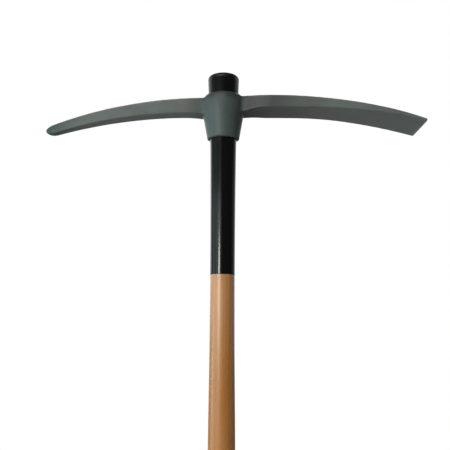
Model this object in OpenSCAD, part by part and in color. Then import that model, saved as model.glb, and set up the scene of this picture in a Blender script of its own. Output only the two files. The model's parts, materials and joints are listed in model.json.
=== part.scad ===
// Slip-fit pickaxe: a forged head with a point and a cross blade on a turned
// wooden haft. The haft is dropped through the eye from above, and its flared
// end jams in the tapered eye, so the head needs no wedge and no fastener.
// The origin is the centre of the butt, and the haft stands along +Z. The
// point reaches along -X and the blade along +X.

/* [Haft] */
// Overall length of the haft, from the butt to the top of the crown
haft_length = 900; // [750:5:1000]
// Diameter of the flared end over its coat, below the crown
head_end_d = 44.5; // [42:0.5:50]
// Radius of the rounded crown at the flared end
crown_r = 7; // [2:0.5:8]
// Length of taper that stands above the eye, below the crown
stand_proud = 22; // [10:1:40]
// Length of taper that shows below the eye
seat_tail = 8; // [0:1:20]
// Length of the hollow neck from the taper down to the waist
neck_length = 182; // [120:1:220]
// Diameter of the wood at the waist
waist_d = 33.4; // [28:0.2:35]
// Length of the straight waist
waist_length = 53; // [10:1:100]
// Diameter of the straight grip
grip_d = 36.5; // [34:0.5:38]
// Length of the straight grip
grip_length = 335; // [200:1:350]
// Radius of the rounded edge of the butt
butt_r = 5; // [2:0.5:10]

/* [Dipped coat] */
// Length of the haft that is dipped, from the crown down
coat_length = 282.5; // [120:0.5:320]
// Thickness of the coat
coat_t = 0.25; // [0.1:0.05:0.5]

/* [Eye] */
// Length of the eye, from its mouth to its rim
eye_length = 64; // [50:1:80]
// Radial clearance between the eye and the coated taper
seat_clearance = 0.05; // [0.02:0.01:0.1]
// Radial room for the grip in the eye's mouth, so that the head slips on
slip_room = 0.4; // [0.2:0.1:1.5]
// Wall of the socket at the mouth
mouth_wall = 3.6; // [3:0.1:6]
// Radius of the rounded lip round the mouth
lip_r = 2; // [1:0.25:2.75]
// Wall of the socket at the rim
rim_wall = 1.2; // [0.8:0.1:4]
// Largest diameter of the socket
belly_d = 59.5; // [54:0.5:70]
// Height over which the belly rounds off above and below its cone's end
belly_h = 8; // [3:0.5:12]
// Height of the domed shoulder between the belly and the rim
shoulder_h = 14; // [6:0.5:18]

/* [Arms] */
// Radius of the arms' long edges
edge_r = 2; // [0.5:0.25:4]
// How much deeper the arms' undersides are where they leave the socket
heel = 1.6; // [0:0.1:4]
// Length over which an arm's underside runs out of its heel
heel_length = 20; // [10:1:40]

/* [Point] */
// Reach of the point from the haft's axis
point_reach = 249; // [200:0.5:300]
// Depth of the arm's centre line below the rim of the eye
point_drop = 17.7; // [15:0.1:24]
// Straight stretch of the arm before it bends down
point_lead = 31; // [25:1:80]
// Radius of the arm's bend
point_bend_r = 641; // [450:1:1200]
// Height of the arm where it leaves the socket
point_root_h = 22.8; // [16:0.1:26]
// Height of the arm at its nose
point_nose_h = 12.5; // [8:0.1:16]
// Width of the arm where it leaves the socket
point_root_w = 26.3; // [18:0.1:30]
// Width of the arm at its nose
point_nose_w = 12.3; // [8:0.1:18]
// How late the arm narrows, where 1 is an even taper
point_taper = 2.8; // [1:0.1:4]
// Length of the rounded nose
nose_length = 14.5; // [4:0.5:20]
// How far the tip of the nose lies above the arm's centre line
nose_lift = 2.8; // [0:0.1:4]
// Radius of the fillets between the arm and the socket
point_fillet_r = 14; // [4:0.5:16]

/* [Blade] */
// Reach of the cutting edge from the haft's axis
blade_reach = 277; // [220:0.5:320]
// Depth of the arm's centre line below the rim of the eye
blade_drop = 15.2; // [13:0.1:22]
// Straight stretch of the arm before it bends down
blade_lead = 82; // [60:1:100]
// Radius of the arm's bend
blade_bend_r = 662; // [450:1:1200]
// Height of the neck where it leaves the socket
neck_h = 22.2; // [16:0.1:25]
// Width of the neck where it leaves the socket
neck_w = 32; // [26:0.5:44]
// Distance of the end of the neck from the haft's axis
neck_end = 66; // [50:1:80]
// Height of the shank
shank_h = 18; // [12:0.1:22]
// Width of the shank
shank_w = 54; // [45:0.1:60]
// Distance of the end of the shank from the haft's axis
shank_end = 82; // [81:1:130]
// Share of the blade's length over which its thinning sets in
thin_ease = 0.08; // [0.02:0.01:0.3]
// Thickness of the cutting edge
edge_t = 4.4; // [1.5:0.1:6]
// Width of the cutting edge
edge_w = 77; // [62:0.5:90]
// How late the blade flares, where 1 is a flare that starts at once
flare_ease = 1.95; // [1:0.05:3]
// Radius of the corners of the cutting edge
corner_r = 2; // [1:0.5:8]
// Radius of the fillets between the neck and the socket
blade_fillet_r = 6; // [3:0.5:10]

/* [Hidden] */
$fn = 96;

// Levels along the haft
taper_top_z = haft_length - crown_r;
rim_z = taper_top_z - stand_proud;
mouth_z = rim_z - eye_length;
taper_end_z = mouth_z - seat_tail;
waist_top_z = taper_end_z - neck_length;
waist_end_z = waist_top_z - waist_length;
grip_top_z = butt_r + grip_length;
coat_end_z = haft_length - coat_length;

// Radii of the tapered seat, over the coat, and of the wood
coat_top_r = head_end_d / 2;
mouth_bore_r = grip_d / 2 + slip_room;
seat_slope = (coat_top_r - mouth_bore_r + seat_clearance) / (taper_top_z - mouth_z);
function seat_r(z) = coat_top_r - (taper_top_z - z) * seat_slope;
function bore_r(z) = seat_r(z) + seat_clearance;
wood_top_r = coat_top_r - coat_t;
taper_end_r = seat_r(taper_end_z) - coat_t;
waist_r = waist_d / 2;
grip_r = grip_d / 2;

// Socket
belly_r = belly_d / 2;
shoulder_z = rim_z - shoulder_h;
belly_z = shoulder_z - belly_h;
lip_outer_r = mouth_bore_r + mouth_wall;
rim_outer_r = bore_r(rim_z) + rim_wall;

// Steps along the curves
round_steps = 8;
neck_steps = 12;
swell_steps = 18;
bend_steps = 16;
fillet_steps = 10;
edge_steps = 3;
nose_angles = [20:20:80];
corner_angles = [30:30:90];
// Largest share of a section's side that one rounded edge may take
edge_limit = 0.48;
// How far past a face a cut runs
cut_over = 1;
// How deep in the socket's wall the fillets end
fillet_sink = 0.25;

// A value from a to b as t goes from 0 to 1
function mix(a, b, t) = a + (b - a) * t;
// Share of the way from a to b, held between 0 and 1
function share(v, a, b) = min(1, max(0, (v - a) / (b - a)));
// Steps from a to b, both ends included
function steps(a, b, n) = [for (i = [0:n]) mix(a, b, i / n)];
// A straight rise from 0 to 1 that sets in softly over the share k
function set_in(t, k) = t * t * (1 + k) / (t + k);
// Point on the curve from a to c that leaves a and reaches c along lines through b
function curve(a, b, c, t) = mix(mix(a, b, t), mix(b, c, t), t);

// Half outline of the wood, from the axis at the butt to the axis at the
// crown, as [radius, height]
crown_outline = [
    for (a = steps(0, 90, round_steps))
        [wood_top_r - crown_r * (1 - cos(a)), taper_top_z + (crown_r - coat_t) * sin(a)]
];
butt_outline = [
    for (a = steps(90, 0, round_steps))
        [grip_r - butt_r * (1 - cos(a)), butt_r * (1 - sin(a))]
];
swell_outline = [
    for (t = steps(0, 1, swell_steps))
        [mix(grip_r, waist_r, (1 - cos(180 * t)) / 2), mix(grip_top_z, waist_end_z, t)]
];
neck_outline = [
    for (t = steps(0, 1, neck_steps))
        [mix(waist_r, taper_end_r, t * t), mix(waist_top_z, taper_end_z, t)]
];
wood_outline = concat(
    [[0, 0]],
    butt_outline,
    swell_outline,
    neck_outline,
    crown_outline,
    [[0, haft_length - coat_t]]
);

// The stretch of the wood's outline that the coat covers, which starts on
// the outline itself at the dip line
wood_radii = [for (p = wood_outline) if (p.x > 0) [p.y, p.x]];
dipped_outline = concat(
    [[lookup(coat_end_z, wood_radii), coat_end_z]],
    [for (p = wood_outline) if (p.y > coat_end_z) p]
);
coat_crown_outline = [
    for (a = steps(0, 90, round_steps))
        [coat_top_r - crown_r * (1 - cos(a)), taper_top_z + crown_r * sin(a)]
];
coat_outline = concat(
    [for (p = dipped_outline) if (p.y < taper_top_z) [p.x + coat_t, p.y]],
    coat_crown_outline,
    [[0, haft_length]]
);

// Half outline of the socket's outside: lip, cone, belly and domed shoulder
cone_slope = (belly_r - lip_outer_r) / (belly_z - mouth_z);
lip_outline = [
    for (a = steps(-90, 0, round_steps))
        [
            lip_outer_r + cone_slope * lip_r - lip_r * (1 - cos(a)),
            mouth_z + lip_r * (1 + sin(a))
        ]
];
belly_outline = [
    for (t = steps(0, 1, round_steps))
        curve(
            [belly_r - cone_slope * belly_h, belly_z - belly_h],
            [belly_r, belly_z],
            [belly_r, shoulder_z],
            t
        )
];
shoulder_outline = [
    for (a = steps(0, 90, round_steps))
        [mix(rim_outer_r, belly_r, cos(a)), mix(shoulder_z, rim_z, sin(a))]
];
socket_outline = concat(
    [[0, mouth_z]],
    lip_outline,
    belly_outline,
    [for (p = shoulder_outline) if (p.y > shoulder_z) p],
    [[0, rim_z]]
);
socket_radii = [for (p = socket_outline) if (p.x > 0) [p.y, p.x]];

// Place on an arm's centre line at the distance s along it: [x, z, angle of
// the drop], for a straight lead that goes over into a bend
function arm_place(s, lead, bend_r) =
    s <= lead
        ? [s, 0, 0]
        : let (a = (s - lead) / bend_r * 180 / PI)
            [lead + bend_r * sin(a), -bend_r * (1 - cos(a)), a];

// Length of an arm's centre line out to the given reach
function arm_length(reach, lead, bend_r) =
    lead + bend_r * asin((reach - lead) / bend_r) * PI / 180;

// Where the fillet between an arm's side, b from its centre, and a socket of
// the radius wall_r starts on the arm, and where it ends on the socket
function fillet_start(b, r, wall_r) = sqrt(max(0, pow(wall_r + r, 2) - pow(b + r, 2)));
function fillet_end(b, r, wall_r) = fillet_start(b, r, wall_r) * wall_r / (wall_r + r);
// What the fillet adds to the side of the arm at the distance s
function fillet_rise(s, b, r, wall_r) =
    let (
        start = fillet_start(b, r, wall_r),
        d = start - min(start, max(s, fillet_end(b, r, wall_r)))
    )
        r - sqrt(r * r - d * d);

// What the heel adds under an arm at the distance s
function heel_depth(s) = heel * pow(1 - share(s, belly_r, belly_r + heel_length), 2);

// Section of an arm, a rectangle w by h with rounded edges and a heel under
// it, as [y, height]
function arm_section(w, h, heel_h) =
    let (r = min(edge_r, edge_limit * h, edge_limit * w))
    [
        for (corner = [0:3])
            let (
                sy = corner == 0 || corner == 3 ? 1 : -1,
                top = corner < 2,
                z = top ? h / 2 - r : r - h / 2 - heel_h
            )
            for (a = steps(90 * corner, 90 * corner + 90, edge_steps))
                [sy * (w / 2 - r) + r * cos(a), z + r * sin(a)]
    ];

// Solid along an arm's centre line through stations of [s, width, height] or,
// where a station stands off the line, [s, width, height, lift], each section
// square to the line. Its sides run into the socket in fillets that follow the
// socket's own radius at every height.
module arm_loft(stations, lead, bend_r, centre_z, fillet_r) {
    n = 4 * (edge_steps + 1);
    last = len(stations) - 1;
    points = [
        for (t = stations)
            let (place = arm_place(t[0], lead, bend_r), lift = len(t) > 3 ? t[3] : 0)
                for (q = arm_section(t[1], t[2], heel_depth(t[0])))
                    let (
                        z = centre_z + place[1] + lift + q.y * cos(place[2]),
                        wall_r = lookup(z, socket_radii) - fillet_sink,
                        rise = fillet_rise(t[0], abs(q.x), fillet_r, wall_r)
                    )
                        [place[0] + q.y * sin(place[2]), q.x + sign(q.x) * rise, z]
    ];
    sides = [
        for (i = [0:last - 1], k = [0:n - 1])
            let (a = i * n + k, b = i * n + (k + 1) % n)
                for (face = [[a, b + n, b], [a, a + n, b + n]]) face
    ];
    root_cap = [for (k = [0:n - 1]) k];
    end_cap = [for (k = [n - 1:-1:0]) last * n + k];
    polyhedron(points, concat([root_cap], sides, [end_cap]), convexity = 6);
}

// Distances along an arm at which its fillets need a section
function fillet_stations(b, r) =
    steps(fillet_end(b, r, rim_outer_r), fillet_start(b, r, belly_r), fillet_steps);

// Stations of the point: square and tapering, with a rounded nose
point_length = arm_length(point_reach, point_lead, point_bend_r);
point_nose_s = point_length - nose_length;
point_root_s = fillet_start(point_root_w / 2, point_fillet_r, belly_r);
function point_w(s) =
    mix(point_root_w, point_nose_w, pow(share(s, point_root_s, point_length), point_taper));
function point_h(s) =
    mix(point_root_h, point_nose_h, share(s, point_root_s, point_length));
point_stations = concat(
    [for (s = fillet_stations(point_root_w / 2, point_fillet_r)) [s, point_w(s), point_h(s)]],
    [
        for (s = steps(point_root_s, point_nose_s, bend_steps))
            if (s > point_root_s) [s, point_w(s), point_h(s)]
    ],
    [
        for (a = nose_angles)
            let (s = point_nose_s + nose_length * sin(a))
                [s, point_w(s) * cos(a), point_h(s) * cos(a), nose_lift * (1 - cos(a))]
    ]
);

// Stations of the blade: a neck, a parallel shank, and a flare that thins to
// the cutting edge
blade_length = arm_length(blade_reach, blade_lead, blade_bend_r);
blade_root_s = fillet_start(neck_w / 2, blade_fillet_r, belly_r);
blade_corner_s = blade_length - corner_r;
function blade_w(s) =
    s < neck_end
        ? mix(neck_w, shank_w, sin(90 * share(s, blade_root_s, neck_end)))
        : mix(shank_w, edge_w, pow(sin(90 * share(s, shank_end, blade_length)), flare_ease));
function blade_h(s) =
    s < neck_end
        ? mix(shank_h, neck_h, pow(1 - share(s, blade_root_s, neck_end), 2))
        : mix(shank_h, edge_t, set_in(share(s, shank_end, blade_length), thin_ease));
blade_stations = concat(
    [for (s = fillet_stations(neck_w / 2, blade_fillet_r)) [s, blade_w(s), blade_h(s)]],
    [
        for (s = steps(blade_root_s, neck_end, round_steps))
            if (s > blade_root_s) [s, blade_w(s), blade_h(s)]
    ],
    [for (s = steps(shank_end, blade_corner_s, bend_steps)) [s, blade_w(s), blade_h(s)]],
    [
        for (a = corner_angles)
            let (s = blade_corner_s + corner_r * sin(a))
                [s, blade_w(s) - 2 * corner_r * (1 - cos(a)), blade_h(s)]
    ]
);

// Tapered hole that the flared end of the haft jams in
module eye() {
    translate([0, 0, mouth_z - cut_over])
        cylinder(
            h = eye_length + 2 * cut_over,
            r1 = bore_r(mouth_z - cut_over),
            r2 = bore_r(rim_z + cut_over)
        );
}

// One forging: the socket, the point and the blade
module pick_head() {
    color("#5c6562")
        difference() {
            union() {
                rotate_extrude()
                    polygon(socket_outline);
                mirror([1, 0, 0])
                    arm_loft(
                        point_stations,
                        point_lead,
                        point_bend_r,
                        rim_z - point_drop,
                        point_fillet_r
                    );
                arm_loft(
                    blade_stations,
                    blade_lead,
                    blade_bend_r,
                    rim_z - blade_drop,
                    blade_fillet_r
                );
            }
            eye();
        }
}

// Turned wooden haft
module haft() {
    color("#c08a58")
        rotate_extrude()
            polygon(wood_outline);
}

// Skin of lacquer on the flared end and the neck
module dip_coat() {
    color("#141617")
        rotate_extrude()
            polygon(concat(coat_outline, [for (i = [len(dipped_outline) - 1:-1:0]) dipped_outline[i]]));
}

pick_head();
haft();
dip_coat();
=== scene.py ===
"""Slip-fit pickaxe: the looks of the forged head, the turned haft and its dipped end, in a plain studio."""

import json
import math
from typing import NamedTuple

import bmesh
import bpy
import numpy as np
from bpy.props import FloatProperty, FloatVectorProperty, IntProperty, PointerProperty
from mathutils import Matrix, Vector, noise

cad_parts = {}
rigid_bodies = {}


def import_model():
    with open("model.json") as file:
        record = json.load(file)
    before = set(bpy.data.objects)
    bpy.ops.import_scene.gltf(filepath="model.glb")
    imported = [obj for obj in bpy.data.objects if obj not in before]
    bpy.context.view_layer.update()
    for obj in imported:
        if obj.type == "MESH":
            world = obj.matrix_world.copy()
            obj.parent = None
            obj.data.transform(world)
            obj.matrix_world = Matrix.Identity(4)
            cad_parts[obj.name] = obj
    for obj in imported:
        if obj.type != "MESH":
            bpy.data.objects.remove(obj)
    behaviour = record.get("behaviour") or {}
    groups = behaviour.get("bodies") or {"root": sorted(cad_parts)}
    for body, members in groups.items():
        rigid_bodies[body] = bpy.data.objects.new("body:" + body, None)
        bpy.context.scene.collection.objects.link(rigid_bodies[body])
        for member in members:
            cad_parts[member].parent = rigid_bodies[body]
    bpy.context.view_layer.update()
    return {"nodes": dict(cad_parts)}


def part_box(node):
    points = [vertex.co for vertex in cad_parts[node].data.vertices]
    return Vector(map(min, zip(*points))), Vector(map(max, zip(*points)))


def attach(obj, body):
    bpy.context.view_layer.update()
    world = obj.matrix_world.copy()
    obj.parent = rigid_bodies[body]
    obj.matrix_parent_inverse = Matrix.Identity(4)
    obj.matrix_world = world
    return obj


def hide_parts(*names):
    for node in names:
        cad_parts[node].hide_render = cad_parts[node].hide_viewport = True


bl_info = {
    "name": "Slip-fit Pickaxe",
    "version": (1, 0, 0),
    "blender": (4, 5, 0),
    "location": "View3D > Sidebar > Pickaxe",
    "description": "Dresses the pickaxe's frame as painted forging, varnished beech and black lacquer",
    "category": "Object",
}

for leftover in list(bpy.data.objects):
    bpy.data.objects.remove(leftover)
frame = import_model()


# Reading the frame

MICRON = 1e-6
MICRON_DIGITS = 6


def node_points(node):
    """The corners of a CAD node's mesh as an array of x, y, z rows."""
    return np.array([v.co for v in frame["nodes"][node].data.vertices])


def from_axis(points):
    """How far points lie from the haft's axis."""
    return np.hypot(points[:, 0], points[:, 1])


def turned_profile(node):
    """The outline of a turned CAD node as rows of height and outer radius, from the bottom up."""
    points = node_points(node)
    heights = np.round(points[:, 2], MICRON_DIGITS)
    radii = from_axis(points)
    return np.array([[z, radii[heights == z].max()] for z in np.unique(heights)])


def film_profile():
    """The outer outline of the dipped coat, without the rows of the wall that lies on the wood."""
    wood = turned_profile("haft")
    coat = turned_profile("dip_coat")
    under = np.interp(coat[:, 0], wood[:, 0], wood[:, 1])
    film = coat[0, 1] - under[0]
    return coat[coat[:, 1] > under + film / 2]


def eye_bore():
    """The head's eye as two rows of height and radius, at its mouth and at its rim.

    The bore is the innermost wall, so its two ends are the ring of the smallest radius and the ring at
    the top.
    """
    points = node_points("pick_head")
    radii = from_axis(points)
    mouth = radii.argmin()
    rim_z = points[:, 2].max()
    rim_r = radii[points[:, 2] > rim_z - MICRON].min()
    return np.array([[points[mouth, 2], radii[mouth]], [rim_z, rim_r]])


# Shader maths

class Value:
    """A shader socket: Python arithmetic on it adds Math nodes."""

    def __init__(self, finish, socket):
        self.finish = finish
        self.socket = socket

    def maths(self, operation, *values):
        """Adds a Math node on the given values."""
        return self.finish.node("ShaderNodeMath", {"operation": operation}, dict(enumerate(values)))

    def __add__(self, other):
        return self.maths("ADD", self, other)

    def __radd__(self, other):
        return self.maths("ADD", other, self)

    def __sub__(self, other):
        return self.maths("SUBTRACT", self, other)

    def __rsub__(self, other):
        return self.maths("SUBTRACT", other, self)

    def __mul__(self, other):
        return self.maths("MULTIPLY", self, other)

    def __rmul__(self, other):
        return self.maths("MULTIPLY", other, self)

    def __truediv__(self, other):
        return self.maths("DIVIDE", self, other)

    def __rtruediv__(self, other):
        return self.maths("DIVIDE", other, self)

    def __pow__(self, other):
        return self.maths("POWER", self, other)

    def __rpow__(self, other):
        return self.maths("POWER", other, self)

    def fraction(self):
        """The part after the decimal point."""
        return self.maths("FRACT", self)

    def larger(self, other):
        """The larger of the two values."""
        return self.maths("MAXIMUM", self, other)

    def centred(self):
        """A value from 0 to 1 made to swing about 0."""
        return self - 0.5

    def eased(self, low, high):
        """0 below low, 1 above high, and a smooth rise between them."""
        return self.finish.node(
            "ShaderNodeMapRange",
            {"interpolation_type": "SMOOTHSTEP"},
            {"Value": self, "From Min": low, "From Max": high},
        )


class Pattern(NamedTuple):
    """A noise pattern by its features in a metre; a squeeze below 1 draws it out along the haft."""

    count: float
    squeeze: float = 1.0
    detail: float = 2.0
    roughness: float = 0.5


# A Mix node's sockets for colours, by number, as those for plain values have the same names
MIX_SHARE = 0
MIX_FIRST = 6
MIX_SECOND = 7
MIX_RESULT = 2


class Finish:
    """The node tree of one material or world, built node by node."""

    def __init__(self, owner):
        owner.use_nodes = True
        self.owner = owner
        self.tree = owner.node_tree
        self.tree.nodes.clear()

    def node(self, kind, settings=None, sockets=None, output=0):
        """Adds a node with its settings first, then its sockets' values or links, and returns one output."""
        made = self.tree.nodes.new(kind)
        for name, setting in (settings or {}).items():
            setattr(made, name, setting)
        for name, value in (sockets or {}).items():
            if isinstance(value, Value):
                self.tree.links.new(value.socket, made.inputs[name])
            else:
                made.inputs[name].default_value = value
        return Value(self, made.outputs[output]) if made.outputs else None

    def place(self):
        """The object's own coordinates, in metres."""
        return self.node("ShaderNodeTexCoord", output="Object")

    def axes(self, vector):
        """The three numbers of a vector."""
        split = self.node("ShaderNodeSeparateXYZ", {}, {0: vector}).socket.node
        return [Value(self, socket) for socket in split.outputs]

    def speckle(self, place, pattern):
        """Noise from 0 to 1 around a half."""
        if pattern.squeeze < 1.0:
            scale = (1.0, 1.0, pattern.squeeze)
            place = self.node("ShaderNodeVectorMath", {"operation": "MULTIPLY"}, {0: place, 1: scale})
        sockets = {
            "Vector": place,
            "Scale": pattern.count,
            "Detail": pattern.detail,
            "Roughness": pattern.roughness,
        }
        return self.node("ShaderNodeTexNoise", {}, sockets)

    def blend(self, share, first, second):
        """The first colour where the share is 0 and the second where it is 1."""
        sockets = {MIX_SHARE: share, MIX_FIRST: first, MIX_SECOND: second}
        return self.node("ShaderNodeMix", {"data_type": "RGBA"}, sockets, output=MIX_RESULT)

    def shaded(self, color, level):
        """A colour times a number."""
        return self.node("ShaderNodeVectorMath", {"operation": "SCALE"}, {0: color, "Scale": level})

    def attribute(self, name):
        """A number that the mesh holds at its points."""
        return self.node("ShaderNodeAttribute", {"attribute_name": name}, output="Fac")

    def relief(self, height, depth):
        """A normal bent by a height from 0 to 1 that stands for the given depth in metres."""
        return self.node("ShaderNodeBump", {}, {"Height": height, "Distance": depth})

    def surface(self, **sockets):
        """Ends the tree in a Principled BSDF with the given sockets, underscores read as spaces."""
        named = {name.replace("_", " "): value for name, value in sockets.items()}
        shader = self.node("ShaderNodeBsdfPrincipled", {}, named)
        self.node("ShaderNodeOutputMaterial", {}, {"Surface": shader})
        return self.owner


def rgba(color):
    """A colour with full alpha, as sockets take it."""
    return (*color, 1.0)


def distance(x, y):
    """How far a shaded point lies from the haft's axis, or from a line beside it."""
    return (x ** 2 + y ** 2) ** 0.5


# Finishes

MOTTLE = Pattern(28.0, detail=4.0, roughness=0.6)
MILL_SCALE = Pattern(160.0, detail=3.0)
ORANGE_PEEL = Pattern(900.0, detail=1.0)
RING_WANDER = Pattern(60.0, squeeze=0.06)
FIBRES = Pattern(700.0, squeeze=0.02, detail=3.0)
RAYS = Pattern(1500.0, squeeze=0.16, detail=1.0)
CLOUDS = Pattern(24.0, squeeze=0.3, detail=3.0)
SAGS = Pattern(90.0, squeeze=0.25)
DUST = Pattern(1800.0, detail=0.0)

# Ranges of a noise: nearly all of it, and its rare peaks
NEARLY_ALL = (0.3, 0.7)
RAY_PEAKS = (0.64, 0.72)
DUST_PEAKS = (0.72, 0.78)

# Shares of a year's growth: where the late wood comes in, and where it ends
LATE_WOOD = (0.35, 0.95)
YEAR_END = (0.95, 1.0)

# Share of the depth of the rim's painted shade that is at full strength, next to the rim
RIM_SHADE_FULL = 1 / 3


def satin_paint(settings):
    """Satin paint over a forging: a mottled grey with an orange-peel skin, thin along the cutting edge.

    It is darker round the socket as painted shade, further along the blade than along the point, and on the
    nose, tinted cool there as a painted reflection. A painted shadow of the socket lies under the blade's
    neck, and painted shade darkens the rim.
    """
    (nose_x, _, _), (blade_x, _, rim_z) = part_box("pick_head")
    eye_r = eye_bore()[:, 1].max()
    wall = settings.socket_wall
    rim_shade_z = rim_z - settings.rim_shade_depth
    finish = Finish(bpy.data.materials.new("satin_paint"))
    place = finish.place()
    x, y, z = finish.axes(place)
    mottle = finish.speckle(place, MOTTLE)
    scale = finish.speckle(place, MILL_SCALE)
    peel = finish.speckle(place, ORANGE_PEEL)
    edge = finish.attribute("edge")
    # The painted shadow under the blade's neck, held by the mesh's points
    neck_shadow = finish.attribute("neck_shadow")
    from_eye = distance(x, y) - eye_r
    off_socket = from_eye.eased(wall, 2 * wall)
    # Painted shade near the socket, stretched further along the blade
    along_arm = (from_eye - x.larger(0.0) * settings.blade_run).eased(0.0, settings.root_fade)
    nose = 1 - x.eased(nose_x, nose_x + settings.nose_fade)
    worn = edge.larger(settings.band_wear) * x.eased(blade_x - settings.edge_band, blade_x)
    # Painted shade on the socket's rim
    rim_shaded = z.eased(rim_shade_z, rim_z - settings.rim_shade_depth * RIM_SHADE_FULL) * (1 - off_socket)
    tone = finish.blend(along_arm, rgba(settings.painted_root_shade), rgba(settings.color))
    # Painted shade with a painted cool reflection round the socket
    tone = finish.blend(off_socket, rgba(settings.painted_socket_shade), tone)
    # Painted shade with a painted cool reflection on the nose
    tone = finish.blend(nose, tone, rgba(settings.painted_nose_shade))
    tone = finish.shaded(tone, settings.shade + mottle.eased(*NEARLY_ALL) * (1 - settings.shade))
    tone = finish.blend(worn * settings.edge_wear, tone, rgba(settings.edge_color))
    # Painted shadow under the blade's neck and painted shade on the rim darken the paint
    tone = finish.shaded(tone, 1 - (neck_shadow * settings.neck_shadow_strength).larger(rim_shaded * settings.rim_shade))
    satin = settings.roughness + (1 - off_socket) * settings.socket_dullness
    uneven = mottle.centred() * settings.mottle_roughness + scale.centred() * settings.scale_roughness
    skin = peel * settings.peel_share + scale * (1 - settings.peel_share)
    return finish.surface(
        Base_Color=tone,
        Roughness=satin + uneven,
        Specular_IOR_Level=settings.gloss,
        Normal=finish.relief(skin, settings.skin_depth),
    )


def varnished_beech(settings):
    """Beech under clear varnish: faint growth rings, long fibres and the short dark flecks of its rays.

    The wood is paler near the dip line and warmer towards the grip, where the varnish is worn.
    """
    dip_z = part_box("dip_coat")[0][2]
    finish = Finish(bpy.data.materials.new("varnished_beech"))
    place = finish.place()
    x, y, z = finish.axes(place)
    wander = finish.speckle(place, RING_WANDER).centred() * settings.ring_wander
    pith = distance(x - settings.pith[0], y - settings.pith[1])
    year = ((pith + wander) / settings.ring_width).fraction()
    late = year.eased(*LATE_WOOD) * (1 - year.eased(*YEAR_END))
    fibre = finish.speckle(place, FIBRES)
    fleck = finish.speckle(place, RAYS).eased(*RAY_PEAKS)
    clouds = finish.speckle(place, CLOUDS).eased(*NEARLY_ALL)
    grip = 1 - z.eased(dip_z - settings.pale_reach, dip_z)
    warmth = clouds * (1 - settings.grip_share) + grip * settings.grip_share
    grain = late * settings.late_share + fibre.centred() * settings.fibre_share
    tone = finish.blend(warmth, rgba(settings.pale), rgba(settings.warm))
    tone = finish.blend(grain, tone, rgba(settings.late))
    tone = finish.blend(fleck * settings.fleck_share, tone, rgba(settings.fleck))
    return finish.surface(
        Base_Color=tone,
        Roughness=settings.roughness + fibre.centred() * settings.fibre_roughness,
        Normal=finish.relief(fibre, settings.grain_depth),
        Coat_Weight=settings.varnish * (1 - grip * settings.varnish_wear),
        Coat_Roughness=settings.varnish_roughness,
        Coat_IOR=settings.varnish_ior,
    )


def gloss_lacquer(settings):
    """Dipped gloss lacquer: black, with slow sags down its length and a little dust in the skin.

    It is rubbed duller where the head's rim passes over it, and most of all on the crown.
    """
    rim_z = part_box("pick_head")[1][2]
    crown_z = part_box("dip_coat")[1][2]
    finish = Finish(bpy.data.materials.new("gloss_lacquer"))
    place = finish.place()
    z = finish.axes(place)[2]
    sag = finish.speckle(place, SAGS)
    dust = finish.speckle(place, DUST).eased(*DUST_PEAKS)
    at_rim = z.eased(rim_z - settings.rub_length, rim_z)
    at_crown = z.eased(crown_z - settings.rub_length, crown_z)
    rubbed = (at_rim + at_crown * settings.crown_rubbing) * settings.rubbing
    uneven = sag.centred() * settings.sag_roughness + dust * settings.dust_roughness
    return finish.surface(
        Base_Color=finish.blend(dust * settings.dust_share, rgba(settings.color), rgba(settings.dust)),
        Roughness=settings.roughness + uneven + rubbed,
        Specular_IOR_Level=settings.gloss,
        Normal=finish.relief(sag, settings.sag_depth),
    )


# Meshes

# Turning waves in a metre of the haft, and rows of points round the film's lower edge
TURNING_WAVES = 14.0
EDGE_ROWS = 6

# Share of the mesh size within which points are welded
WELD_SHARE = 0.01

# Slope towards the axis from which a face counts as the eye's wall
WALL_SLOPE = 0.5

# Share of the neck's radius where the blade's side begins, and the slope that counts as fully underneath
SIDE_START = 1 / 3
UNDER_SLOPE = 0.625

# Strokes of a softening pass: in, and out again by a little more, so that the solid keeps its size
SOFTEN_STROKES = (0.5, -0.52)

# Share of a hollow that a pass fills, and the bulge, in mesh sizes, that counts as a sharp edge
ROOT_FILL = 0.8
SHARP_BULGE = 1 / 6


def put(name, data):
    """Puts a mesh, a lamp or a camera into the scene as an object."""
    made = bpy.data.objects.new(name, data)
    bpy.context.scene.collection.objects.link(made)
    return made


def mesh_object(name, points, faces):
    """A smooth-shaded object from points and faces, in the shared frame."""
    mesh = bpy.data.meshes.new(name)
    mesh.from_pydata(points, [], faces)
    mesh.shade_smooth()
    return put(name, mesh)


def dress(piece, material, body, node):
    """Gives a piece its finish, and puts it on its body in the place of its CAD node."""
    piece.data.materials.clear()
    piece.data.materials.append(material)
    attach(piece, body)
    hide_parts(node)


def swell(spot):
    """Smooth noise from 0 to 1 at a spot."""
    return min(1.0, max(0.0, 0.5 + noise.noise(spot)))


def lathe(rows, sides, depth):
    """Points and faces of a turned solid through rows of height and radius, closed flat at both ends.

    Slow waves up to the given depth lie under the true radius. A row's height may be a function of the
    angle, for a level that isn't flat.
    """
    angles = [2 * math.pi * i / sides for i in range(sides)]
    points = []
    for height, radius in rows:
        for angle in angles:
            level = height(angle) if callable(height) else height
            spot = Vector((math.cos(angle), math.sin(angle), level * TURNING_WAVES))
            r = radius - depth * swell(spot)
            points.append((r * math.cos(angle), r * math.sin(angle), level))
    faces = []
    for ring in range(len(rows) - 1):
        start = ring * sides
        for i in range(sides):
            j = (i + 1) % sides
            faces.append((start + i, start + j, start + sides + j, start + sides + i))
    faces.append(tuple(range(sides - 1, -1, -1)))
    top = (len(rows) - 1) * sides
    faces.append(tuple(range(top, top + sides)))
    return points, faces


def even_rows(profile, spacing):
    """A profile with extra rows, none further apart than the spacing."""
    heights = [profile[0, 0]]
    for low, high in zip(profile[:-1, 0], profile[1:, 0]):
        steps = max(1, math.ceil((high - low) / spacing))
        heights.extend(low + (high - low) * (i + 1) / steps for i in range(steps))
    return [(z, float(np.interp(z, profile[:, 0], profile[:, 1]))) for z in heights]


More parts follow.
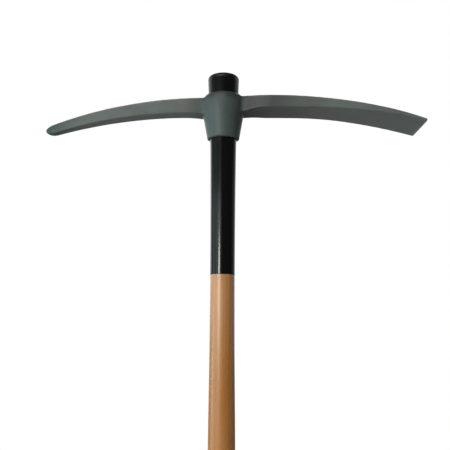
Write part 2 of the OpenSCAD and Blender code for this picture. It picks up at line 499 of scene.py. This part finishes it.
def film_rows(settings, spacing):
    """Rows of the dipped film: from its top down along the wood, round its lower edge and up its outside."""
    wood = turned_profile("haft")
    outer = even_rows(film_profile(), spacing)
    dip_z, outer_r = outer[0]
    wood_r = float(np.interp(dip_z, wood[:, 0], wood[:, 1]))
    top_z = float(wood[-1, 0])
    inside = [(top_z, float(wood[-1, 1]))]
    inside += [row for row in reversed(even_rows(wood, spacing)) if dip_z < row[0] < top_z]
    edge = [
        (dip_z + settings.run_out * (1 - math.cos(a)), wood_r + (outer_r - wood_r) * math.sin(a))
        for a in np.linspace(0, math.pi / 2, EDGE_ROWS)
    ]
    outside = [row for row in outer if row[0] > dip_z + settings.run_out]
    return inside + edge + outside


def slanted(height, dip_z, settings):
    """A height near the dip line that rises to one side, as a function of the angle."""
    share = max(0.0, 1.0 - abs(height - dip_z) / settings.slant_fade)
    return lambda angle: height - settings.slant * share * math.cos(angle)


def edge_means(points, edges, count):
    """The mean of each point's neighbours."""
    total = np.zeros_like(points)
    for axis in range(points.shape[1]):
        total[:, axis] += np.bincount(edges[:, 0], points[edges[:, 1], axis], len(points))
        total[:, axis] += np.bincount(edges[:, 1], points[edges[:, 0], axis], len(points))
    return total / count[:, None]


def read_mesh(mesh):
    """A mesh's points, normals and edges as arrays."""
    points = np.empty(len(mesh.vertices) * 3)
    mesh.vertices.foreach_get("co", points)
    normals = np.empty(len(mesh.vertices) * 3)
    mesh.vertex_normals.foreach_get("vector", normals)
    edges = np.empty(len(mesh.edges) * 2, int)
    mesh.edges.foreach_get("vertices", edges)
    return points.reshape(-1, 3), normals.reshape(-1, 3), edges.reshape(-1, 2)


def even_mesh(node, voxel):
    """A copy of a CAD node's solid as an even mesh of small quads."""
    mesh = frame["nodes"][node].data.copy()
    welded = bmesh.new()
    welded.from_mesh(mesh)
    bmesh.ops.remove_doubles(welded, verts=welded.verts, dist=voxel * WELD_SHARE)
    welded.to_mesh(mesh)
    welded.free()
    rough = put(node + "_rough", mesh)
    remesh = rough.modifiers.new("Even quads", "REMESH")
    remesh.mode = "VOXEL"
    remesh.voxel_size = voxel
    made = bpy.data.meshes.new_from_object(rough.evaluated_get(bpy.context.evaluated_depsgraph_get()))
    bpy.data.objects.remove(rough)
    bpy.data.meshes.remove(mesh)
    return made


def ream(points, normals, reach):
    """Puts the points of the eye's wall, within reach of it, back on the true bore."""
    (mouth_z, mouth_r), (rim_z, rim_r) = eye_bore()
    radii = from_axis(points)
    bore = np.interp(points[:, 2], [mouth_z, rim_z], [mouth_r, rim_r])
    faces_in = (points[:, :2] * normals[:, :2]).sum(1) < -WALL_SLOPE * radii
    wall = faces_in & (np.abs(radii - bore) < reach)
    points[wall, :2] *= (bore / radii)[wall, None]


def painted_neck_shadow(points, normals, settings):
    """How strongly the painted shadow of the socket darkens the underside of the blade's neck."""
    neck_r = eye_bore()[:, 1].max() + settings.neck_shadow_start
    near = np.clip(1 - (from_axis(points) - neck_r) / settings.neck_shadow_reach, 0, 1)
    side = np.clip((points[:, 0] / neck_r - SIDE_START) / (1 - SIDE_START), 0, 1)
    under = np.clip(-normals[:, 2] / UNDER_SLOPE, 0, 1)
    return near * side * under


def forge(mesh, settings):
    """Works an even mesh into a forging: soft edges, filled corners at the roots, and shallow dents.

    The mesh's points then hold how sharp the edge is there and how strongly the painted shadow under the
    blade's neck darkens them.
    """
    points, normals, edges = read_mesh(mesh)
    count = np.bincount(edges.ravel(), minlength=len(points))
    for _ in range(settings.soften_passes):
        for stroke in SOFTEN_STROKES:
            points += stroke * (edge_means(points, edges, count) - points)
    for _ in range(settings.root_passes):
        hollow = ((edge_means(points, edges, count) - points) * normals).sum(1)
        points += ROOT_FILL * np.maximum(hollow, 0)[:, None] * normals
    dents = np.array([swell(Vector(p) * settings.dent_count) for p in points])
    points -= (settings.dent_depth * dents)[:, None] * normals
    ream(points, normals, settings.voxel)
    points = np.clip(points, *map(np.array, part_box("pick_head")))
    bulge = -((edge_means(points, edges, count) - points) * normals).sum(1)
    mesh.vertices.foreach_set("co", points.ravel())
    held = {
        "edge": np.clip(bulge / (settings.voxel * SHARP_BULGE), 0, 1),
        # Painted shadow of the socket under the blade's neck
        "neck_shadow": painted_neck_shadow(points, normals, settings),
    }
    for name, amount in held.items():
        values = amount.astype(np.float32)
        mesh.attributes.new(name, "FLOAT", "POINT").data.foreach_set("value", values)
    mesh.update()
    mesh.shade_smooth()


# Settings

def length(name, description, default):
    """A setting in metres."""
    return FloatProperty(name=name, description=description, default=default, precision=5, unit="LENGTH")


def number(name, description, default):
    """A plain number."""
    return FloatProperty(name=name, description=description, default=default)


def whole(name, description, default, least):
    """A whole number."""
    return IntProperty(name=name, description=description, default=default, min=least)


def tilt(name, description, degrees):
    """An angle, given in degrees."""
    default = math.radians(degrees)
    return FloatProperty(name=name, description=description, default=default, subtype="ANGLE")


def factor(name, description, default):
    """A setting from 0 to 1."""
    limits = {"min": 0.0, "max": 1.0}
    return FloatProperty(name=name, description=description, default=default, subtype="FACTOR", **limits)


def paint(name, description, default):
    """A colour setting."""
    return FloatVectorProperty(name=name, description=description, default=default, subtype="COLOR")


def position(name, description, default):
    """A place in metres, on two or three axes."""
    return FloatVectorProperty(
        name=name, description=description, default=default, size=len(default), subtype="TRANSLATION",
    )


class HeadSettings(bpy.types.PropertyGroup):
    """Sizes and colours of the forged head."""

    voxel: length("Mesh size", "Side of the mesh's quads", 0.0010)
    soften_passes: whole("Softening", "Passes that soften the edges", 10, least=0)
    root_passes: whole("Root filling", "Passes that fill the corners", 14, least=0)
    dent_depth: length("Dent depth", "Depth of the forging's dents", 0.00018)
    dent_count: number("Dents", "Dents in a metre", 45.0)
    color: paint("Paint", "Paint on the arms", (0.172, 0.191, 0.179))
    # Socket paint: painted shade, darker and cooler than the arms, with a painted cool reflection
    painted_socket_shade: paint("Socket paint", "Thicker paint round the socket", (0.094, 0.120, 0.116))
    socket_wall: length("Socket wall", "Thickness of the socket's wall", 0.009)
    # Root paint is painted shade near the socket; the blade run stretches it further along the blade
    painted_root_shade: paint("Root paint", "Thicker paint at the roots of the arms", (0.092, 0.094, 0.092))
    root_fade: length("Root fade", "How far along the arms it reaches", 0.040)
    blade_run: factor("Blade run", "How much slower it thins along the blade", 0.6)
    # Nose paint is painted shade with a painted cool reflection
    painted_nose_shade: paint("Nose paint", "Thicker paint on the nose", (0.050, 0.086, 0.074))
    nose_fade: length("Nose fade", "How far from the nose it reaches", 0.060)
    shade: factor("Shade", "Brightness of the mottle's dark patches", 0.86)
    edge_color: paint("Edge paint", "Thin paint on the cutting edge", (0.34, 0.36, 0.35))
    edge_wear: factor("Edge wear", "How far the cutting edge shows", 0.8)
    edge_band: length("Edge band", "Width of the band along the cutting edge", 0.012)
    band_wear: factor("Band wear", "Share of the wear on the flat of that band", 0.3)
    # Pooling is a painted shadow of the socket under the blade's neck
    neck_shadow_strength: factor("Pooling", "How dark the paint is where it has run together", 0.75)
    neck_shadow_start: length("Pool start", "Distance from the eye to the corner at the blade's neck", 0.012)
    neck_shadow_reach: length("Pool reach", "How far it has run from the corner", 0.036)
    # Smear is painted shade that darkens the socket's rim
    rim_shade: factor("Smear", "Black that the haft leaves on the rim", 0.5)
    rim_shade_depth: length("Smear depth", "How far below the rim it reaches", 0.015)
    roughness: factor("Roughness", "Roughness of the satin", 0.40)
    mottle_roughness: factor("Mottle roughness", "Change of the roughness with the mottle", 0.12)
    scale_roughness: factor("Scale roughness", "Change of the roughness with the mill scale", 0.10)
    socket_dullness: factor("Socket dullness", "Roughness that the thicker paint adds", 0.08)
    gloss: factor("Gloss", "Strength of the satin's reflection", 0.38)
    skin_depth: length("Skin", "Depth of the skin's relief", 0.00004)
    peel_share: factor("Orange peel", "Share of orange peel in the relief, the rest being mill scale", 0.4)


class HaftSettings(bpy.types.PropertyGroup):
    """Sizes and colours of the turned haft."""

    sides: whole("Sides", "Faces round the haft", 128, least=32)
    spacing: length("Row spacing", "Largest step along the haft", 0.006)
    turning_depth: length("Turning", "Depth of the turning waves", 0.00006)
    pith: position("Pith", "Where the tree's heart lies", (0.09, -0.05))
    ring_width: length("Ring width", "A year's growth", 0.0034)
    ring_wander: length("Ring wander", "Wander of the rings", 0.004)
    pale: paint("Pale wood", "Wood near the dip line", (0.725, 0.338, 0.124))
    warm: paint("Warm wood", "Wood towards the grip", (0.540, 0.200, 0.028))
    pale_reach: length("Pale reach", "How far below the dip line the wood is pale", 0.2)
    grip_share: factor("Grip share", "Share of the warmth that lies at the grip, the rest in clouds", 0.6)
    late: paint("Late wood", "Darker end of a year's growth", (0.515, 0.178, 0.028))
    late_share: factor("Late share", "How strongly the late wood shows", 0.45)
    fibre_share: factor("Fibre share", "How strongly the fibres show", 0.5)
    fleck: paint("Flecks", "Ray flecks", (0.29, 0.118, 0.032))
    fleck_share: factor("Fleck share", "How strongly the flecks show", 0.45)
    roughness: factor("Roughness", "Roughness of the wood", 0.42)
    fibre_roughness: factor("Fibre roughness", "Change of the roughness with the fibres", 0.2)
    grain_depth: length("Grain", "Depth of the grain", 0.00002)
    varnish: factor("Varnish", "Share of clear varnish", 0.9)
    varnish_wear: factor("Varnish wear", "Share of the varnish that is worn off at the grip", 0.5)
    varnish_ior: number("Varnish IOR", "How strongly it bends light", 1.65)
    varnish_roughness: factor("Varnish roughness", "Roughness of the varnish", 0.36)


class CoatSettings(bpy.types.PropertyGroup):
    """Sizes and colours of the dipped end."""

    run_out: length("Run-out", "Length of the film's rounded edge", 0.0009)
    slant: length("Slant", "Rise of the dip line to one side", 0.0003)
    slant_fade: length("Slant fade", "How far from the dip line the slant dies out", 0.018)
    color: paint("Lacquer", "Lacquer", (0.0026, 0.003, 0.003))
    dust: paint("Dust", "Dust in the lacquer", (0.03, 0.03, 0.03))
    dust_share: factor("Dust share", "How strongly the dust shows", 0.5)
    roughness: factor("Roughness", "Roughness of the gloss", 0.15)
    sag_roughness: factor("Sag roughness", "Change of the roughness with the sags", 0.06)
    dust_roughness: factor("Dust roughness", "Roughness that the dust adds", 0.1)
    gloss: factor("Gloss", "Strength of the lacquer's reflection", 0.39)
    rubbing: factor("Rubbing", "Roughness that the head rubs on", 0.08)
    crown_rubbing: number("Crown rubbing", "How many times more the crown is rubbed", 6.0)
    rub_length: length("Rub length", "Length of a rubbed band", 0.010)
    sag_depth: length("Sags", "Depth of the sags", 0.00004)


class StudioSettings(bpy.types.PropertyGroup):
    """Camera, lamps and floor."""

    lens: FloatProperty(name="Lens", description="Focal length", default=57.2, unit="CAMERA")
    place: position("Camera", "Place of the camera", (0.0031, -0.9733, 0.5375))
    pitch: tilt("Pitch", "Upward tilt", 8.7)
    roll: tilt("Roll", "Turn about the line of sight", 0.304)
    lamps: number("Lamps", "Brightness of all lamps together", 1.0)
    ambient: number("Ambient", "Light from all round", 0.09)
    floor_radius: length("Floor", "Radius of the floor", 2.0)
    floor_color: paint("Floor colour", "Floor as the camera sees it", (0.85, 0.85, 0.85))
    floor_shade: paint("Floor bounce", "Floor as it throws light back", (0.46, 0.46, 0.46))
    floor_white: factor("Floor white", "Share of backdrop white in the floor", 0.4)


# Studio

WHITE = (1.0, 1.0, 1.0)
SENSOR_MM = 36.0
FLOOR_SEGMENTS = 96

# Where the lamps aim, and how far from the haft's axis they hang
AIM = Vector((0.0, 0.0, 0.82))
LAMP_DISTANCE = 1.5

# Shares of the floor's radius over which it fades into the backdrop
FLOOR_FADE = (0.65, 0.98)

# How far back and how far up the backdrop's white comes in
BACK_FADE = (0.40, 0.90)
HORIZON_FADE = (-0.02, 0.10)


class Lamp(NamedTuple):
    """A soft rectangular lamp that faces the tool's head end.

    Its bearing counts in degrees to the left of the camera, and its level is the brightness of its face.
    """

    name: str
    bearing: float
    height: float
    size: tuple
    level: float
    color: tuple = WHITE


LAMPS = [
    Lamp("left_wall", 36.0, 0.665, (1.15, 0.69), 1.56, (0.97, 1.01, 1.01)),
    Lamp("left_upper", 36.0, 1.11, (1.15, 0.20), 0.25),
    Lamp("side_wall", 80.0, 0.64, (1.40, 0.78), 1.08, (0.76, 1.0, 1.05)),
    Lamp("side_upper", 80.0, 1.16, (1.40, 0.26), 0.35, (0.76, 1.0, 1.05)),
    Lamp("flash", 32.0, 0.72, (0.20, 0.22), 35.0, (0.98, 1.0, 0.90)),
    Lamp("top_left", 50.0, 2.60, (1.00, 1.00), 2.00),
    Lamp("front", 18.0, 2.60, (1.10, 0.80), 5.50),
    Lamp("low_side", 92.0, 0.36, (0.70, 0.36), 3.00, (0.66, 1.0, 1.12)),
    Lamp("back_left", 138.0, 1.20, (1.30, 1.20), 0.72),
    Lamp("back_upper", 107.0, 1.52, (0.70, 0.56), 0.85),
    Lamp("right_wall", -108.0, 0.70, (0.80, 1.10), 0.16),
    Lamp("back_right", -112.0, 1.60, (1.00, 0.50), 0.80),
    Lamp("back", 180.0, 1.85, (1.30, 1.00), 1.60),
]


def shown(finish):
    """1 for a ray from the camera, and 1 for a ray by gloss or through glass."""
    path = finish.node("ShaderNodeLightPath").socket.node
    direct, glossy, through = (
        Value(finish, path.outputs[name])
        for name in ("Is Camera Ray", "Is Glossy Ray", "Is Transmission Ray")
    )
    return direct, glossy.larger(through)


def floor(settings):
    """A pale round floor that fades into the white backdrop."""
    disc = bmesh.new()
    bmesh.ops.create_circle(disc, cap_ends=True, segments=FLOOR_SEGMENTS, radius=settings.floor_radius)
    mesh = bpy.data.meshes.new("floor")
    disc.to_mesh(mesh)
    disc.free()
    made = put("floor", mesh)
    finish = Finish(bpy.data.materials.new("floor"))
    x, y, _ = finish.axes(finish.place())
    direct, mirrored = shown(finish)
    far = (distance(x, y) / settings.floor_radius).eased(*FLOOR_FADE)
    pale = settings.floor_white + far * (1 - settings.floor_white)
    tone = finish.blend(direct, rgba(settings.floor_shade), rgba(settings.floor_color))
    paper = finish.node("ShaderNodeBsdfDiffuse", {}, {"Color": tone})
    white = finish.node("ShaderNodeEmission", {}, {"Color": rgba(WHITE)})
    share = (direct * pale).larger(mirrored * far)
    mixed = finish.node("ShaderNodeMixShader", {}, {0: share, 1: paper, 2: white})
    finish.node("ShaderNodeOutputMaterial", {}, {"Surface": mixed})
    mesh.materials.append(finish.owner)


def backdrop(scene, settings):
    """A world that shows as white behind the object and lights it at a plain level."""
    world = bpy.data.worlds.new("backdrop")
    scene.world = world
    finish = Finish(world)
    direct, mirrored = shown(finish)
    _, y, z = finish.axes(finish.node("ShaderNodeTexCoord", output="Generated"))
    behind = y.eased(*BACK_FADE) * z.eased(*HORIZON_FADE)
    light = settings.ambient + direct.larger(mirrored * behind) * (1 - settings.ambient)
    shader = finish.node("ShaderNodeBackground", {}, {"Color": rgba(WHITE), "Strength": light})
    finish.node("ShaderNodeOutputWorld", {}, {"Surface": shader})


def hang(lamp, strength):
    """Puts one lamp in the studio."""
    turn = math.radians(lamp.bearing)
    width, height = lamp.size
    light = bpy.data.lights.new(lamp.name, "AREA")
    light.shape = "RECTANGLE"
    light.size = width
    light.size_y = height
    light.energy = strength * lamp.level * math.pi * width * height
    light.color = lamp.color
    made = put(lamp.name, light)
    made.location = (-LAMP_DISTANCE * math.sin(turn), -LAMP_DISTANCE * math.cos(turn), lamp.height)
    made.rotation_euler = (AIM - made.location).to_track_quat("-Z", "Y").to_euler()
    made.visible_camera = False


def camera(scene, settings):
    """The photograph's viewpoint: from below the head, tilted up."""
    data = bpy.data.cameras.new("camera")
    data.lens = settings.lens
    data.sensor_width = SENSOR_MM
    made = put("camera", data)
    turn = Matrix.Rotation(math.pi / 2 + settings.pitch, 4, "X") @ Matrix.Rotation(settings.roll, 4, "Z")
    made.matrix_world = Matrix.Translation(settings.place) @ turn
    scene.camera = made


# Operators

class PICKAXE_OT_forge_head(bpy.types.Operator):
    """Makes the painted forging with its point and its blade"""

    bl_idname = "pickaxe.forge_head"
    bl_label = "Forge the head"

    def execute(self, context):
        settings = context.scene.pickaxe_head
        mesh = even_mesh("pick_head", settings.voxel)
        forge(mesh, settings)
        mesh.name = "forged_head"
        head = put("forged_head", mesh)
        dress(head, satin_paint(settings), "head", "pick_head")
        return {"FINISHED"}


class PICKAXE_OT_turn_haft(bpy.types.Operator):
    """Turns the varnished haft"""

    bl_idname = "pickaxe.turn_haft"
    bl_label = "Turn the haft"

    def execute(self, context):
        settings = context.scene.pickaxe_haft
        rows = even_rows(turned_profile("haft"), settings.spacing)
        haft = mesh_object("turned_haft", *lathe(rows, settings.sides, settings.turning_depth))
        dress(haft, varnished_beech(settings), "haft", "haft")
        return {"FINISHED"}


class PICKAXE_OT_dip_haft(bpy.types.Operator):
    """Dips the flared end of the haft in lacquer"""

    bl_idname = "pickaxe.dip_haft"
    bl_label = "Dip the haft"

    def execute(self, context):
        settings = context.scene.pickaxe_coat
        turning = context.scene.pickaxe_haft
        rows = film_rows(settings, turning.spacing)
        dip_z = min(rows)[0]
        skin = [(slanted(z, dip_z, settings), r) for z, r in rows]
        coat = mesh_object("lacquer_coat", *lathe(skin, turning.sides, turning.turning_depth))
        dress(coat, gloss_lacquer(settings), "haft", "dip_coat")
        return {"FINISHED"}


class PICKAXE_OT_set_studio(bpy.types.Operator):
    """Sets the floor, the lamps, the backdrop and the camera"""

    bl_idname = "pickaxe.set_studio"
    bl_label = "Set the studio"

    def execute(self, context):
        scene = context.scene
        settings = scene.pickaxe_studio
        scene.view_settings.view_transform = "Standard"
        floor(settings)
        backdrop(scene, settings)
        for lamp in LAMPS:
            hang(lamp, settings.lamps)
        camera(scene, settings)
        return {"FINISHED"}


# Sidebar

class PICKAXE_PT_sidebar(bpy.types.Panel):
    """Lists the steps and the settings of the pickaxe"""

    bl_label = "Pickaxe"
    bl_space_type = "VIEW_3D"
    bl_region_type = "UI"
    bl_category = "Pickaxe"

    def draw(self, context):
        """Draws one box for each step, with its button and its settings."""
        for operator, group in STEPS:
            box = self.layout.box()
            box.operator(operator.bl_idname)
            settings = getattr(context.scene, group)
            for name in type(settings).__annotations__:
                box.prop(settings, name)


GROUPS = {
    "pickaxe_head": HeadSettings,
    "pickaxe_haft": HaftSettings,
    "pickaxe_coat": CoatSettings,
    "pickaxe_studio": StudioSettings,
}
STEPS = [
    (PICKAXE_OT_forge_head, "pickaxe_head"),
    (PICKAXE_OT_turn_haft, "pickaxe_haft"),
    (PICKAXE_OT_dip_haft, "pickaxe_coat"),
    (PICKAXE_OT_set_studio, "pickaxe_studio"),
]
CLASSES = [*GROUPS.values(), *(operator for operator, _ in STEPS), PICKAXE_PT_sidebar]


def register():
    """Makes the classes known to Blender and gives the scene its settings."""
    for cls in CLASSES:
        bpy.utils.register_class(cls)
    for name, group in GROUPS.items():
        setattr(bpy.types.Scene, name, PointerProperty(type=group))


def unregister():
    """Takes back what register has done."""
    for name in GROUPS:
        delattr(bpy.types.Scene, name)
    for cls in reversed(CLASSES):
        bpy.utils.unregister_class(cls)


def main():
    """Builds the pickaxe and its studio."""
    register()
    bpy.ops.pickaxe.forge_head()
    bpy.ops.pickaxe.turn_haft()
    bpy.ops.pickaxe.dip_haft()
    bpy.ops.pickaxe.set_studio()


if __name__ == "__main__":
    main()
